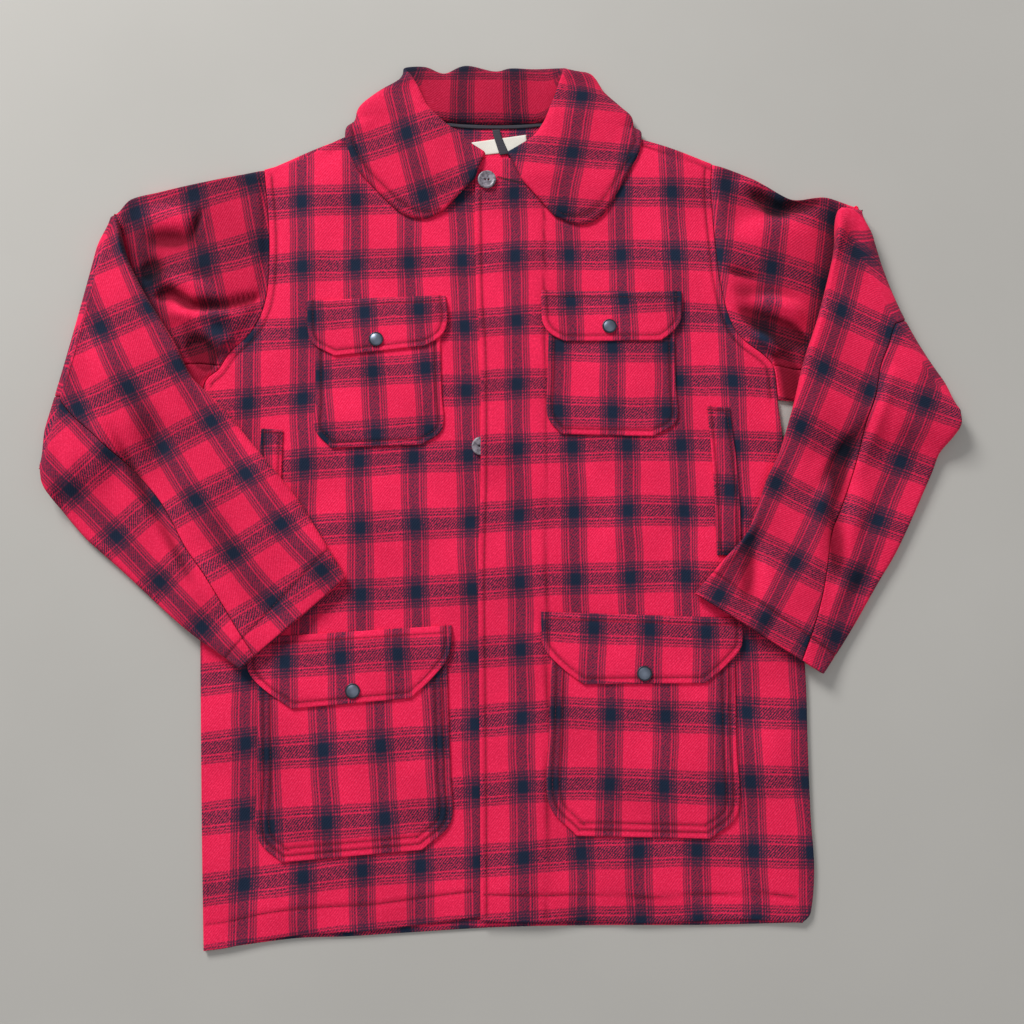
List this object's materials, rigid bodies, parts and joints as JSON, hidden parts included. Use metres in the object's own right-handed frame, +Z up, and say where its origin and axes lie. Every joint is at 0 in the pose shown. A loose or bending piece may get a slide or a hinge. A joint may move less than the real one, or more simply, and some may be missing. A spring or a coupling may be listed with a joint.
{
  "type": "mackinaw jacket",
  "caption": "Heavy wool hunting-style jacket in a red and black check, buttoned and laid flat on its back with both sleeves folded over the fronts.",
  "frame": {"origin": "on the flat underside of the back panel, at its middle, 427 mm above the hem's lowest point", "axes": "+X to the jacket's own left, +Y from hem to collar, +Z up from the surface it lies on"},
  "size_m": [0.9335, 0.9119, 0.0242],
  "materials": {
    "wool_cloth": "napped wool twill, red and navy-black ombre check, 56 x 69 mm repeat",
    "binding": "black tape",
    "label_cloth": "plain woven white, left bare",
    "button": "smoke-grey, mottled like horn",
    "snap_cap": "polished gunmetal with a dark rim"
  },
  "bodies": {
    "root": {"back_panel": "wool_cloth", "right_front": "wool_cloth", "left_front": "wool_cloth", "right_top_sleeve": "wool_cloth", "right_under_sleeve": "wool_cloth", "left_top_sleeve": "wool_cloth", "left_under_sleeve": "wool_cloth", "collar": "wool_cloth", "right_chest_pocket": "wool_cloth", "left_chest_pocket": "wool_cloth", "right_hip_pocket": "wool_cloth", "left_hip_pocket": "wool_cloth", "right_chest_flap": "wool_cloth", "left_chest_flap": "wool_cloth", "right_hip_flap": "wool_cloth", "left_hip_flap": "wool_cloth", "right_hand_welt": "wool_cloth", "left_hand_welt": "wool_cloth", "neck_tape": "binding", "hanger_loop": "binding", "label": "label_cloth", "top_button": "button", "second_button": "button", "right_chest_snap": "snap_cap", "left_chest_snap": "snap_cap", "right_hip_snap": "snap_cap", "left_hip_snap": "snap_cap"}
  },
  "joints": []
}
